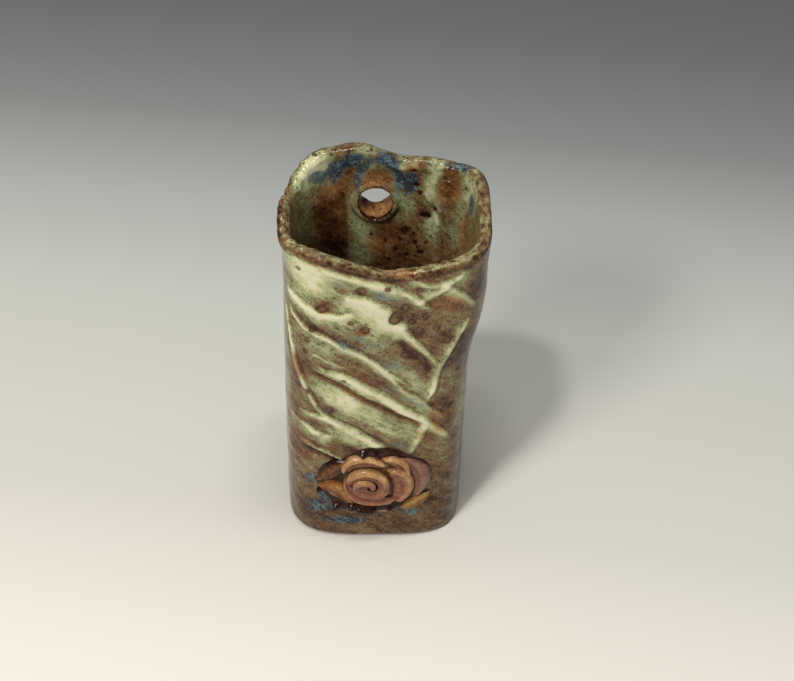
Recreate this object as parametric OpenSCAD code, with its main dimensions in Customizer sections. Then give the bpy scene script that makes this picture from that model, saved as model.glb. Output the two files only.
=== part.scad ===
// Ceramic bud vase, slab built: a hanging wall pocket with a rose modelled on its front.
// Two slabs of clay make the wall, a third closes the bottom, and a thin roll of clay
// seals the rear right corner. Every petal and leaf of the rose is a piece of its own.
// +X is the viewer's right, -Y is the decorated front, +Z is up.

/* [Body] */
// Height of the lip at the crest of the back
crest_h = 133; // [120:1:160]
// Distance from the middle plane to the left side, at the foot
left_half = 32.6; // [28:0.2:40]
// Distance from the middle plane to the right side, at the foot
right_half = 27.8; // [24:0.2:36]
// Distance from the middle plane to the front, at the foot
front_half = 26.4; // [22:0.2:34]
// Distance from the middle plane to the back, at the foot
back_half = 22.6; // [19:0.2:30]
// Squareness of the plan: 2 is an ellipse, larger is boxier
squareness = 3.6; // [3:0.1:5]
// How far the left side draws in towards the top
left_taper = 3.9; // [0:0.1:6]
// How far the right side swells out above the middle
right_swell = 4.2; // [0:0.1:6]
// Outward turn of the lip at the left
lip_turn = 1.8; // [0:0.1:3]

/* [Clay] */
// Thickness of the wall slabs
wall_t = 4.5; // [3.5:0.1:6]
// Extra thickness in the middle of the back slab
back_extra = 0.8; // [0:0.1:2]
// How much thinner the wall is at the lip
lip_thinning = 0.7; // [0:0.1:1]
// Thickness of the bottom slab
floor_t = 5; // [4:0.5:8]
// Radius of the soft outer edge of the foot
foot_r = 2.2; // [1:0.1:3]
// Radius of the rounded lip
lip_r = 1.7; // [1:0.1:1.7]
// Thickness of the clay roll in the rear right corner
coil_t = 1.4; // [1:0.1:2.5]

/* [Hanging hole] */
// Diameter of the hole through the back slab
hole_d = 10.4; // [6:0.2:14]
// Height of the hole's centre
hole_h = 112.5; // [95:0.5:116]
// Sideways place of the hole's centre
hole_x = -0.5; // [-6:0.5:6]
// Radius of the ring of clay raised round the hole, inside
collar_r = 1.3; // [0.8:0.1:1.8]

/* [Rose] */
// Sideways place of the rose's centre
rose_x = -1.6; // [-4:0.2:2]
// Height of the rose's centre
rose_z = 31; // [29:0.5:60]
// Thickness of the petals
petal_h = 2.6; // [1.5:0.1:4]
// Thickness of the rolled bud
bud_h = 3.3; // [2:0.1:5]
// Thickness of the leaves
leaf_h = 1.5; // [0.8:0.1:3]

/* [Hidden] */

// Plan angles run anticlockwise from +X, so 90 is the back and 270 the front.
angle_step = 4;
seam_right = 40;
seam_left = 140;
coil_spread = 8;
body_steps = 14;

// How far the lip stands below the crest, by plan angle: the hand-cut, wavy lip.
LIP_DROP = [[0, 7], [20, 4.8], [45, 6], [66, 5.2], [106, 0], [124, 1.4], [155, 8.6], [180, 5],
            [200, 6.8], [216, 3.8], [280, 11.7], [330, 8.9], [341, 9.4], [360, 7]];

function smooth(t) = let (u = min(1, max(0, t))) u * u * (3 - 2 * u);

function lip_drop(angle, k = 0) =
    let (a = LIP_DROP[k], b = LIP_DROP[k + 1])
    angle > b[0] ? lip_drop(angle, k + 1)
                 : a[1] + (b[1] - a[1]) * smooth((angle - a[0]) / (b[0] - a[0]));

function lip_z(angle) = crest_h - lip_drop(angle % 360);

// Half sizes of the plan on each side, at height z. The sides turn out a little below the lip.
lip_zone = 112;
lip_rise = 14;
left_power = 1.2;
right_lean = 75;
right_turn = 0.5;
swell_from = 70;
swell_rise = 34;
front_tuck = 1.8;
front_tuck_rise = 55;
back_spread = 1.2;
back_spread_rise = 120;
back_turn = 0.9;
function near_lip(z) = smooth((z - lip_zone) / lip_rise);
function left_at(z) =
    left_half - left_taper * pow(max(0, z) / lip_zone, left_power) + lip_turn * near_lip(z - 2);
function right_at(z) =
    right_half + z / right_lean + right_swell * smooth((z - swell_from) / swell_rise)
    + right_turn * near_lip(z);
function front_at(z) = front_half - front_tuck * smooth(z / front_tuck_rise);
function back_at(z) =
    back_half + back_spread * smooth(z / back_spread_rise) + back_turn * smooth((z - lip_zone) / 18);

function plan_point(angle, z, inset) =
    let (a = (cos(angle) >= 0 ? right_at(z) : left_at(z)) - inset)
    let (b = (sin(angle) >= 0 ? back_at(z) : front_at(z)) - inset)
    let (sum = pow(abs(cos(angle)) / a, squareness) + pow(abs(sin(angle)) / b, squareness))
    let (radius = pow(sum, -1 / squareness))
    [radius * cos(angle), radius * sin(angle)];

// Depth of the front face of the wall at x and z
function front_y(x, z) =
    let (a = x >= 0 ? right_at(z) : left_at(z))
    -(front_at(z) - foot_inset(z)) * pow(1 - pow(abs(x) / a, squareness), 1 / squareness);

function quarter_round(t) = 1 - sqrt(max(0, 1 - t * t));
function foot_inset(z) = foot_r * quarter_round(max(0, 1 - z / foot_r));
function lip_inset(angle, z) = lip_r * quarter_round(max(0, 1 - (lip_z(angle) - z) / lip_r));

function thickness(angle, z) =
    wall_t + back_extra * pow(max(0, sin(angle)), 6) - lip_thinning * smooth((z - 105) / 18);

function outer_point(angle, z) = concat(plan_point(angle, z, foot_inset(z) + lip_inset(angle, z)), z);
function inner_point(angle, z) =
    concat(plan_point(angle, max(z, floor_t), thickness(angle, z) - lip_inset(angle, z)), z);

// Heights of the rows of points in one column of a wall slab
function wall_rows(angle) =
    let (top = lip_z(angle) - lip_r)
    concat([0, foot_r * 0.15, foot_r * 0.5, foot_r],
           [for (k = [0:body_steps]) floor_t + (top - floor_t) * k / body_steps],
           [top + lip_r * 0.6, top + lip_r]);

function wall_skins(from, to) = [
    [for (angle = [from:angle_step:to]) [for (z = wall_rows(angle)) outer_point(angle, z)]],
    [for (angle = [from:angle_step:to]) [for (z = wall_rows(angle)) inner_point(angle, z)]]];

// A cubic curve through the plane of the front, from four control points [x, z]
function curve_point(c, t) =
    pow(1 - t, 3) * c[0] + 3 * t * pow(1 - t, 2) * c[1] + 3 * t * t * (1 - t) * c[2] + t * t * t * c[3];

function unit(v) = v / norm(v);
function path_side(path, i) =
    let (n = len(path) - 1)
    let (along = unit(path[min(n, i + 1)] - path[max(0, i - 1)]))
    [-along[1], along[0]];

// Section across a strip of clay: place from edge to edge, and share of its height
STRIP = [[-1, 0.3], [-0.85, 0.75], [-0.4, 1], [0.4, 1], [0.85, 0.75], [1, 0.3]];
wall_gap = 0.02;

function strip_skins(path, half, height) = [
    [for (i = [0:len(path) - 1]) [for (s = STRIP)
        let (p = path[i] + half[i] * s[0] * path_side(path, i))
        [p[0], front_y(p[0], p[1]) - wall_gap - height * s[1], p[1]]]],
    [for (i = [0:len(path) - 1]) [for (s = STRIP)
        let (p = path[i] + half[i] * s[0] * path_side(path, i))
        [p[0], front_y(p[0], p[1]) - wall_gap, p[1]]]]];

petal_steps = 12;
function petal_skins(controls, half, height) =
    let (path = [for (k = [0:petal_steps]) [rose_x, rose_z] + curve_point(controls, k / petal_steps)])
    let (taper = [for (k = [0:petal_steps]) half * (0.18 + 0.82 * pow(sin(180 * k / petal_steps), 0.6))])
    strip_skins(path, taper, height);

// The bud is one strip rolled up into a spiral.
bud_centre = [-1.9, -2.6];
bud_r = 6.6;
bud_turns = 1.9;
bud_pitch = 2.6;
bud_steps = 48;
bud_path = [for (k = [0:bud_steps])
    let (turn = 360 * bud_turns * k / bud_steps)
    let (radius = bud_r - bud_pitch * turn / 360)
    [rose_x, rose_z] + bud_centre + radius * [cos(200 - turn), sin(200 - turn)]];
bud_half = [for (k = [0:bud_steps])
    (bud_pitch / 2 - 0.15) * min(1, 0.35 + 6 * k / bud_steps, 0.5 + 4 * (1 - k / bud_steps))];

front_skins = wall_skins(seam_left, 360 + seam_right);
back_skins = wall_skins(seam_right, seam_left);
bud_skins = strip_skins(bud_path, bud_half, bud_h);
top_left_skins = petal_skins([[-9.8, 3.8], [-9.2, 10], [-3, 11.4], [2.8, 6.4]], 2.8, petal_h);
top_right_skins = petal_skins([[3.4, 9.4], [6.6, 9.8], [9.4, 7], [9.9, 2.6]], 2.2, petal_h);
right_skins = petal_skins([[4.4, 1.8], [8.8, 2.6], [11, -5], [6.4, -9]], 2.6, petal_h * 0.95);
bottom_skins = petal_skins([[-10.2, -0.8], [-10.1, -10], [-3, -13.8], [5.4, -10.8]], 1.2, petal_h * 0.9);
leaf_upper_skins = petal_skins([[-19.2, -0.8], [-16.4, 2], [-13.6, 6.8], [-11.2, 8.6]], 2.2, leaf_h);
leaf_lower_skins = petal_skins([[-18.8, -4.8], [-14.8, -1.2], [-13.4, -5], [-9.8, -11.2]], 2.2,
                               leaf_h * 1.3);
leaf_right_skins = petal_skins([[11.4, 7.2], [15, 5], [16.2, -3.4], [12.8, -7.4]], 2.2, leaf_h);
leaf_small_skins = petal_skins([[9.6, -13.2], [12, -12.2], [14.8, -10.4], [17.2, -9]], 1.7, leaf_h);

// The origin is the middle of the overall box in plan, on the table.
all_points = [for (skins = [front_skins, back_skins, bud_skins, top_left_skins, top_right_skins,
                            right_skins, bottom_skins, leaf_upper_skins, leaf_lower_skins])
              each [for (column = skins[0]) each column]];
all_x = [for (p = all_points) p[0]];
all_y = [for (p = all_points) p[1]];
middle_x = (min(all_x) + max(all_x)) / 2;
middle_y = (min(all_y) + max(all_y)) / 2;

module placed() {
    translate([-middle_x, -middle_y, 0]) children();
}

// A closed solid between an outer and an inner skin, each a list of columns of points
module slab_between(skins) {
    columns = len(skins[0]);
    rows = len(skins[0][0]);
    count = columns * rows;
    last = columns - 1;
    top = rows - 1;
    points = [for (skin = skins) each [for (column = skin) each column]];
    faces = concat(
        [for (i = [0:last - 1]) each [for (j = [0:top - 1])
            let (a = i * rows + j) [a, a + 1, a + rows + 1, a + rows]]],
        [for (i = [0:last - 1]) each [for (j = [0:top - 1])
            let (a = count + i * rows + j) [a, a + rows, a + rows + 1, a + 1]]],
        [for (i = [0:last - 1])
            let (a = i * rows + top) [a, a + count, a + count + rows, a + rows]],
        [for (i = [0:last - 1])
            let (a = i * rows) [a, a + rows, a + count + rows, a + count]],
        [for (j = [0:top - 1]) [count + j, count + j + 1, j + 1, j]],
        [for (j = [0:top - 1])
            let (a = last * rows + j) [a, a + 1, a + count + 1, a + count]]);
    polyhedron(points = points, faces = faces, convexity = 10);
}

module front_wrap() {
    color("tan") placed() slab_between(front_skins);
}

// The back slab stands higher than the front, and has the hole that it hangs by.
module back_slab() {
    inner_y = back_at(hole_h) - thickness(90, hole_h);
    color("sienna") placed() difference() {
        union() {
            slab_between(back_skins);
            translate([hole_x, inner_y, hole_h]) rotate([90, 0, 0])
                rotate_extrude($fn = 48) translate([hole_d / 2 + 1.4, 0]) circle(r = collar_r, $fn = 20);
        }
        translate([hole_x, back_half + 10, hole_h]) rotate([90, 0, 0])
            cylinder(d = hole_d, h = 25, $fn = 64);
    }
}

module base_slab() {
    outline = [for (angle = [0:angle_step:359]) plan_point(angle, floor_t, thickness(angle, floor_t))];
    color("peru") placed() linear_extrude(height = floor_t) polygon(outline);
}

module seam_coil() {
    angles = [seam_right - coil_spread:angle_step:seam_right + coil_spread];
    coil_top = lip_z(seam_right) - 6;
    rows = [for (k = [0:body_steps]) floor_t + (coil_top - floor_t) * k / body_steps];
    wall_side = [for (angle = angles) [for (z = rows) inner_point(angle, z)]];
    free_side = [for (angle = angles) [for (z = rows)
        let (ease = smooth((coil_top - z) / 16))
        let (bulge = 0.2 + coil_t * ease * pow(cos(90 * (angle - seam_right) / (coil_spread + 2)), 2))
        concat(plan_point(angle, z, thickness(angle, z) + bulge), z)]];
    color("saddlebrown") placed() slab_between([wall_side, free_side]);
}

module rose_bud() {
    color("rosybrown") placed() slab_between(bud_skins);
}

module petal_top_left() {
    color("burlywood") placed() slab_between(top_left_skins);
}

module petal_top_right() {
    color("goldenrod") placed() slab_between(top_right_skins);
}

module petal_right() {
    color("rosybrown") placed() slab_between(right_skins);
}

module petal_bottom() {
    color("burlywood") placed() slab_between(bottom_skins);
}

module leaf_left_upper() {
    color("darkgoldenrod") placed() slab_between(leaf_upper_skins);
}

module leaf_left_lower() {
    color("goldenrod") placed() slab_between(leaf_lower_skins);
}

module leaf_right() {
    color("rosybrown") placed() slab_between(leaf_right_skins);
}

module leaf_lower_right() {
    color("olive") placed() slab_between(leaf_small_skins);
}

front_wrap();
back_slab();
base_slab();
seam_coil();
rose_bud();
petal_top_left();
petal_top_right();
petal_right();
petal_bottom();
leaf_left_upper();
leaf_left_lower();
leaf_right();
leaf_lower_right();
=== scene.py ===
import math

import bmesh
import bpy
import numpy as np
from mathutils import Matrix, Vector


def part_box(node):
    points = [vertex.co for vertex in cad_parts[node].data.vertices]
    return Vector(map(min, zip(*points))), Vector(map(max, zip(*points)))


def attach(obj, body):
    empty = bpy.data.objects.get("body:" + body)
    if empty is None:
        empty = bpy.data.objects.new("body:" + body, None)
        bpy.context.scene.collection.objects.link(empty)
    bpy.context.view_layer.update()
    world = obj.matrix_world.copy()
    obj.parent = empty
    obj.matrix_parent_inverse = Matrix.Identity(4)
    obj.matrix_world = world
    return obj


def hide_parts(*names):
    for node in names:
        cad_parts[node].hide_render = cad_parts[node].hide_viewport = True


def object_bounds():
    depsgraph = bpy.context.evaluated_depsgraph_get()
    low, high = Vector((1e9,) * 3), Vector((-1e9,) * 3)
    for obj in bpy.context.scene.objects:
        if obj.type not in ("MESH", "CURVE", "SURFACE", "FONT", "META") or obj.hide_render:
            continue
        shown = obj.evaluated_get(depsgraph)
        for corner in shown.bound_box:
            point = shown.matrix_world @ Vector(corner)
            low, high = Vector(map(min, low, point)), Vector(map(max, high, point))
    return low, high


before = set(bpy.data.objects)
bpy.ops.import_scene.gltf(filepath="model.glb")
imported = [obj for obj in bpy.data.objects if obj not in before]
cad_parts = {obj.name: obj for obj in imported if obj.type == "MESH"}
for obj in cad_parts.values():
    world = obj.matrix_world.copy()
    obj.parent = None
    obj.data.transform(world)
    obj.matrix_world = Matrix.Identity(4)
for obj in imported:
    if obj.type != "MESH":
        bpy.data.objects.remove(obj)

CAD_BOX = [list(corner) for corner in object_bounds()]
MM = 0.001

# ---- sizes, in millimetres
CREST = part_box("back_slab")[1].z / MM
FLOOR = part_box("base_slab")[1].z / MM
SQUARENESS = 3.6
WALL = 4.5
BACK_EXTRA = 0.8
LIP_THINNING = 0.7
FOOT_R = 2.2
LIP_R = 1.7
SEAM_RIGHT = 40
SEAM_LEFT = 140
HOLE_X = -0.5
HOLE_Z = 112.5
HOLE_R = 5.2
COIL_BULGE = 1.4
SCALLOP = 4.6
ROSE_X = -1.6
ROSE_Z = 31
PETAL_H = 2.6
BUD_H = 3.3
LEAF_H = 1.5
SPECULAR = 0.24

# The plan: half widths, how they change with height, and where the lip's flare begins
LEFT_HALF = 32.6
LEFT_TAPER = 3.9
LEFT_POWER = 1.2
LEFT_FLARE = 1.8
RIGHT_HALF = 27.8
RIGHT_LEAN = 75
RIGHT_SWELL = 4.2
RIGHT_FLARE = 0.5
SWELL_FROM = 70
SWELL_RISE = 34
FRONT_HALF = 26.4
FRONT_TUCK = 1.8
TUCK_RISE = 55
BACK_HALF = 22.6
BACK_SPREAD = 1.2
SPREAD_RISE = 120
BACK_FLARE = 0.9
LIP_ZONE = 112
LIP_RISE = 14
BACK_RISE = 18

# How far the lip stands below the crest, by plan angle from +X, anticlockwise
LIP_DROP = ((0, 7), (20, 4.8), (45, 6), (66, 5.2), (106, 0), (124, 1.4), (155, 8.6), (180, 5),
            (200, 6.2), (218, 4.2), (280, 11.7), (330, 8.9), (341, 9.4), (360, 7))


# ---- noise, always the same
def lattice(ix, iy, iz, seed):
    """A fixed pseudo-random number from 0 to 1 for each lattice point."""
    h = (ix * 374761393 + iy * 668265263 + iz * 1440662683 + seed * 974634777) & 0xFFFFFFFF
    h = ((h ^ (h >> 13)) * 1274126177) & 0xFFFFFFFF
    return ((h ^ (h >> 16)) & 0xFFFFFF) / 0xFFFFFF


def noise(x, y, z, size, seed=0, octaves=3):
    """Smooth noise from -1 to 1, with lumps of about that size in millimetres."""
    total = np.zeros(np.broadcast(x, y, z).shape)
    weight = 1.0
    weights = 0.0
    for octave in range(octaves):
        px, py, pz = (np.asarray(c) * 2 ** octave / size + 31.7 * (octave + 1) for c in (x, y, z))
        ix, iy, iz = (np.floor(c).astype(np.int64) for c in (px, py, pz))
        fx, fy, fz = (smooth(c - np.floor(c)) for c in (px, py, pz))
        value = 0.0
        for dx, wx in ((0, 1 - fx), (1, fx)):
            for dy, wy in ((0, 1 - fy), (1, fy)):
                for dz, wz in ((0, 1 - fz), (1, fz)):
                    value = value + wx * wy * wz * lattice(ix + dx, iy + dy, iz + dz, seed + octave)
        total += weight * (2 * value - 1)
        weights += weight
        weight *= 0.5
    return total / weights


def smooth(t):
    u = np.clip(t, 0.0, 1.0)
    return u * u * (3 - 2 * u)


def bell(distance, half):
    """1 in the middle, falling away to 0 a few half widths off."""
    return np.exp(-(distance / half) ** 2)


# ---- shape of the pot
def lip_z(angle):
    around = np.mod(angle, 360.0)
    drop = np.zeros_like(around)
    for (a0, d0), (a1, d1) in zip(LIP_DROP, LIP_DROP[1:]):
        inside = (around >= a0) & (around <= a1)
        drop = np.where(inside, d0 + (d1 - d0) * smooth((around - a0) / (a1 - a0)), drop)
    return CREST - drop


def left_at(z):
    taper = LEFT_TAPER * np.power(np.maximum(z, 0) / LIP_ZONE, LEFT_POWER)
    return LEFT_HALF - taper + LEFT_FLARE * smooth((z - LIP_ZONE - 2) / LIP_RISE)


def right_at(z):
    swell = RIGHT_SWELL * smooth((z - SWELL_FROM) / SWELL_RISE)
    return RIGHT_HALF + z / RIGHT_LEAN + swell + RIGHT_FLARE * smooth((z - LIP_ZONE) / LIP_RISE)


def front_at(z):
    return FRONT_HALF - FRONT_TUCK * smooth(z / TUCK_RISE)


def back_at(z):
    return BACK_HALF + BACK_SPREAD * smooth(z / SPREAD_RISE) + BACK_FLARE * smooth((z - LIP_ZONE) / BACK_RISE)


def facing_back(angle):
    """1 at the back, 0 at the sides and -1 at the front."""
    return np.sin(np.radians(angle))


def plan(angle, z, inset):
    """x and y of the wall at a plan angle and height, that far in from the outer face."""
    c = np.cos(np.radians(angle))
    s = facing_back(angle)
    a = np.where(c >= 0, right_at(z), left_at(z)) - inset
    b = np.where(s >= 0, back_at(z), front_at(z)) - inset
    radius = (np.abs(c / a) ** SQUARENESS + np.abs(s / b) ** SQUARENESS) ** (-1 / SQUARENESS)
    return radius * c, radius * s


def thickness(angle, z):
    back = BACK_EXTRA * np.maximum(0, facing_back(angle)) ** 6
    return WALL + back - LIP_THINNING * smooth((z - 105) / 18)


def foot_inset(z):
    t = np.clip(1 - z / FOOT_R, 0, 1)
    return FOOT_R * (1 - np.sqrt(1 - t * t))


def run_table(z, inset, start, origin):
    """Plan angles over one turn, and the distance along the wall from the origin angle."""
    angle = np.linspace(start, start + 360, 1441)
    x, y = plan(angle, z, inset)
    run = np.concatenate([[0.0], np.cumsum(np.hypot(np.diff(x), np.diff(y)))])
    return angle, run - np.interp(origin, angle, run)


OUT_ANGLE, OUT_RUN = run_table(60.0, 0.0, 90, 270)
IN_ANGLE, IN_RUN = run_table(100.0, 4.6, -90, 90)


def run_outside(angle):
    """Distance along the outer face from the middle of the front, to the right."""
    return np.interp(np.mod(angle - 90, 360) + 90, OUT_ANGLE, OUT_RUN)


def run_inside(angle):
    """Distance along the inner face from the middle of the back, to the viewer's right."""
    return -np.interp(np.mod(angle + 90, 360) - 90, IN_ANGLE, IN_RUN)


# The model's own middle plane isn't the frame's: the base slab gives the shift between them.
BASE_LOW, BASE_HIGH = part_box("base_slab")
SHIFT_X = BASE_LOW.x / MM + left_at(FLOOR) - WALL
SHIFT_Y = BASE_HIGH.y / MM - back_at(FLOOR) + WALL + BACK_EXTRA


def to_frame(x, y, z):
    """Millimetres in the model's own axes to metres in the frame, one row a point."""
    x, y, z = np.broadcast_arrays(x, y, z)
    return np.stack([(x + SHIFT_X) * MM, (y + SHIFT_Y) * MM, z * MM], -1).reshape(-1, 3)


# ---- lines drawn on the wall
def curve_through(points, steps=6):
    """A smooth line through given points."""
    p = np.array(points, float)
    p = np.vstack([2 * p[0] - p[1], p, 2 * p[-1] - p[-2]])
    line = []
    for k in range(1, len(p) - 2):
        for t in np.arange(steps) / steps:
            line.append(0.5 * (2 * p[k] + (p[k + 1] - p[k - 1]) * t
                               + (2 * p[k - 1] - 5 * p[k] + 4 * p[k + 1] - p[k + 2]) * t * t
                               + (3 * p[k] - p[k - 1] - 3 * p[k + 1] + p[k + 2]) * t ** 3))
    line.append(p[-2])
    return np.array(line)


def line_distance(spot, points):
    """Distance to a line on the wall, counted as negative on its left, and the share of it passed."""
    s, z = spot
    line = curve_through(points)
    nearest = np.full(s.shape, 1e9)
    signed = np.zeros(s.shape)
    along = np.zeros(s.shape)
    for k, (p, q) in enumerate(zip(line[:-1], line[1:])):
        d = q - p
        ds = s - p[0]
        dz = z - p[1]
        t = np.clip((ds * d[0] + dz * d[1]) / (d @ d), 0, 1)
        distance = np.hypot(ds - t * d[0], dz - t * d[1])
        closer = distance < nearest
        nearest = np.where(closer, distance, nearest)
        signed = np.where(closer, distance * np.sign(d[1] * ds - d[0] * dz), signed)
        along = np.where(closer, (k + t) / (len(line) - 1), along)
    return signed, along


def stroke(spot, points, half):
    """A soft line, 1 in its middle and tapered at its ends."""
    signed, along = line_distance(spot, points)
    width = half * (0.35 + 0.65 * np.sin(np.pi * np.clip(along, 0, 1)) ** 0.5)
    ends = smooth(along * 8) * smooth((1 - along) * 8)
    return np.exp(-np.abs(signed / width) ** 2.4) * (0.25 + 0.75 * ends)


def ridge(spot, points, half, feather):
    """The sharp crest of a raised line, the softer smear of glaze below it, and a thin dark line of
    painted shade in a shallow dip above it."""
    signed, along = line_distance(spot, points)
    width = half * (0.35 + 0.65 * np.sin(np.pi * np.clip(along, 0, 1)) ** 0.5)
    ends = 0.2 + 0.8 * smooth(along * 8) * smooth((1 - along) * 8)
    crest = bell(signed, 0.62 * width) * ends
    smear = np.exp(-np.abs(signed / np.where(signed > 0, width * feather * 1.5, width * 1.05)) ** 2.2) * ends
    edge = bell(signed + 1.15 * width + 0.25, 0.32) * ends
    return crest, smear, edge


def blob(spot, centre_s, centre_z, half_s, half_z, slope=0.0):
    """1 inside a soft oval and 0 outside it."""
    ds = spot[0] - centre_s
    dz = spot[1] - centre_z - slope * ds
    return smooth(1.55 - np.hypot(ds / half_s, dz / half_z))


# Lines on the outer face: places along the wall from the middle of the front, and heights.
# Raised ridges where the glaze runs pale: points, half width, height, paleness, feather
RIDGES = (
    (((-20, 125), (-12, 121), (-4, 118), (3, 116), (8, 113), (12, 110), (16, 106)), 1.7, 0.8, 0.48, 1.5),
    (((8, 120), (13, 117), (19, 116), (25, 119)), 1.3, 0.6, 0.42, 1.3),
    (((18, 117), (23, 111), (29, 104)), 1.1, 0.6, 0.42, 1.2),
    (((21, 116), (15, 112), (10, 109)), 1.2, 0.4, 0.36, 1.4),
    (((-31, 110), (-26, 108), (-20, 105), (-13, 104), (-6, 106)), 1.7, 0.6, 0.48, 1.5),
    (((-11, 113), (-5, 110), (0, 106), (4, 101), (9, 98)), 3.4, 0.9, 0.62, 1.5),
    (((6, 99), (10, 94), (14, 88), (18, 82)), 1.5, 0.6, 0.46, 1.2),
    (((-31, 104), (-24, 99), (-17, 95), (-10, 91), (-4, 87), (2, 81), (9, 75)), 1.0, 0.9, 0.56, 1.3),
    (((2, 81), (6, 74), (11, 68), (17, 62), (21, 57)), 1.2, 0.5, 0.40, 1.6),
    (((-21, 88), (-16, 85), (-10, 82)), 0.6, 0.3, 0.34, 1.0),
    (((-21, 82), (-13, 79), (-5, 74), (2, 68), (8, 62), (14, 57), (20, 50), (24, 45)), 2.0, 0.9, 0.58, 1.1),
    (((-26, 60), (-18, 59), (-12, 55), (-6, 51), (0, 45), (4, 41)), 1.9, 0.7, 0.50, 1.4),
    (((-31, 56), (-25, 54), (-20, 51), (-14, 50)), 1.1, 0.5, 0.42, 1.5),
    (((-27, 47), (-20, 44), (-14, 40), (-8, 37)), 0.9, 0.5, 0.42, 1.0),
    (((-33, 105), (-31, 98), (-29, 90), (-27, 82), (-24, 73), (-20, 64), (-15, 58)), 0.9, 0.7, 0.56, 1.0),
    (((27, 101), (23, 94), (20, 87), (18, 80), (17, 73), (15, 66)), 1.4, 0.8, 0.52, 1.1),
    (((14, 56), (12, 49), (9, 42)), 1.8, 0.5, 0.46, 1.0),
)
# Cut grooves where rusty glaze lies: points, half width, depth
GROOVES = (
    (((-22, 80), (-17, 77), (-10, 72), (-3, 67), (4, 62), (10, 58), (14, 53)), 1.2, 0.8),
    (((-24, 44), (-17, 40), (-11, 37)), 0.9, 0.5),
    (((6, 95), (10, 90), (14, 85), (16, 80)), 1.6, 0.3),
)
# Thin dark lines
DARK_LINES = (
    (((-15, 59), (-9, 56), (-3, 51), (3, 46), (8, 43)), 0.5),
    (((-30, 100), (-24, 97), (-18, 93)), 0.4),
    (((-33, 96), (-31, 86), (-29, 78)), 0.5),
    (((-24, 80), (-20, 82), (-14, 78)), 0.4),
)
# Purple-brown bands between the ridges: points, half width
BROWN_BANDS = (
    (((-30, 107), (-22, 101), (-13, 96), (-6, 91), (1, 85)), 2.2),
    (((-15, 89), (-8, 85), (-2, 80), (5, 74)), 2.2),
    (((0, 99), (6, 94), (11, 88), (15, 80), (14, 72)), 3.0),
    (((-27, 95), (-24, 86), (-22, 76), (-19, 68)), 2.2),
    (((-12, 46), (-4, 42), (4, 39)), 2.0),
    (((-32, 64), (-28, 58), (-27, 50)), 2.4),
)
# Purple-brown patches: place, height, half sizes, slope
BROWN_PATCHES = (
    (-6, 114.5, 7, 2.4, -0.3), (9, 106, 7, 4, -0.6), (15, 100, 8, 7, -0.5), (19, 90, 3.5, 8),
    (11, 117, 8, 2.2, -0.35), (-20, 55.5, 5, 1.6, -0.15), (26, 92, 4, 14), (-31, 118, 4, 8),
    (-17, 109, 4, 3.2), (-26, 116, 3, 3), (26, 66, 5, 8), (-28, 72, 3, 10), (20, 82, 3, 6),
)
# Green and pale cloudy patches
PALE_PATCHES = (
    (-22, 119, 9, 6, -0.25, 0.50), (-16, 71, 9, 5, -0.6, 0.32), (-6, 62, 12, 5, -0.7, 0.30),
    (-14, 101, 12, 4, -0.5, 0.22), (6, 80, 10, 4, -0.7, 0.22), (-8, 84, 10, 4, -0.6, 0.15),
    (-8, 49, 9, 3, -0.5, 0.25), (-22, 50, 6, 3, -0.3, 0.25), (22, 74, 5, 6, 0, 0.15),
    (30, 62, 6, 12, 0, 0.22), (22, 38, 8, 6, 0, 0.18), (-26, 33, 6, 4, -0.4, 0.18), (3, 54, 8, 3, -0.7, 0.2),
    (14, 70, 5, 3, -0.6, 0.2),
)
# Orange-brown patches
RUST_PATCHES = (
    (20, 108, 5.5, 3.6, -0.3), (-16, 108, 3, 2.4), (20, 59, 5, 9), (15, 50, 4, 3, -0.4),
    (-27, 42, 6, 6), (-5, 98, 2.4, 1.8), (10, 88, 4, 2.8, -0.7), (30, 84, 5, 9), (28, 74, 3, 5),
    (-27, 78, 3, 6), (-4, 78, 8, 2, -0.65), (30, 112, 4, 6),
)
# Blue and teal patches
BLUE_PATCHES = (
    (4, 112, 7, 2.2, -0.35), (-5, 94.5, 6, 2.2, -0.5), (8, 69, 8, 2.4, -0.7), (-16, 63, 3, 1.8),
    (-14, 117, 4, 1.6), (3, 84, 6, 2.2, -0.6), (7, 46, 5, 2.4, -0.6), (-10, 93, 5, 2, -0.6),
)
# Blue pools at the corners of the rose
BLUE_POOLS = (
    (-18.5, 20.5, 2.8, 2.8, -0.8), (-16.2, 17.4, 2.6, 2.0, -0.6), (-20, 15, 3.4, 3.0),
    (7, 16.5, 2.4, 2.2),
    (9.5, 13.5, 2.4, 1.6), (-12, 9, 7, 1.6), (5, 42.6, 2.2, 0.9, -0.4), (-23, 28, 2.0, 2.6),
)
# Beads of glaze that catch the light under the rose and over it: place, height, size
BEADS = (
    (-8.8, 17.6, 1.2), (-6.0, 17.0, 1.6), (-3.2, 16.4, 2.0), (-5.2, 43.0, 1.1), (-1.2, 43.4, 0.9),
    (5.6, 42.8, 1.0), (-13.5, 17.6, 1.3), (-19.4, 24.6, 1.1), (2.6, 16.2, 0.9),
)
# Pits that burst in the glaze: place, height, radius
PITS = (
    (5, 104, 1.9), (12, 98, 1.5), (-5, 115, 1.3), (8, 108, 1.1), (-17, 107, 1.4), (17, 99, 0.9),
    (-8, 102, 0.8), (-4, 99, 1.3), (-16, 63, 1.2), (8, 88, 1.3), (14, 104, 0.8), (10, 102, 0.8),
    (0, 4.5, 0.8), (20, 93, 0.9), (-22, 93, 0.9), (-11, 77, 0.7), (3, 116, 0.8), (23, 62, 1.0),
    (-20, 98, 0.9), (-23, 88, 0.8), (12, 115, 0.9), (-24, 121, 0.7), (25, 78, 0.9), (-23, 70, 0.8),
)


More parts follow.
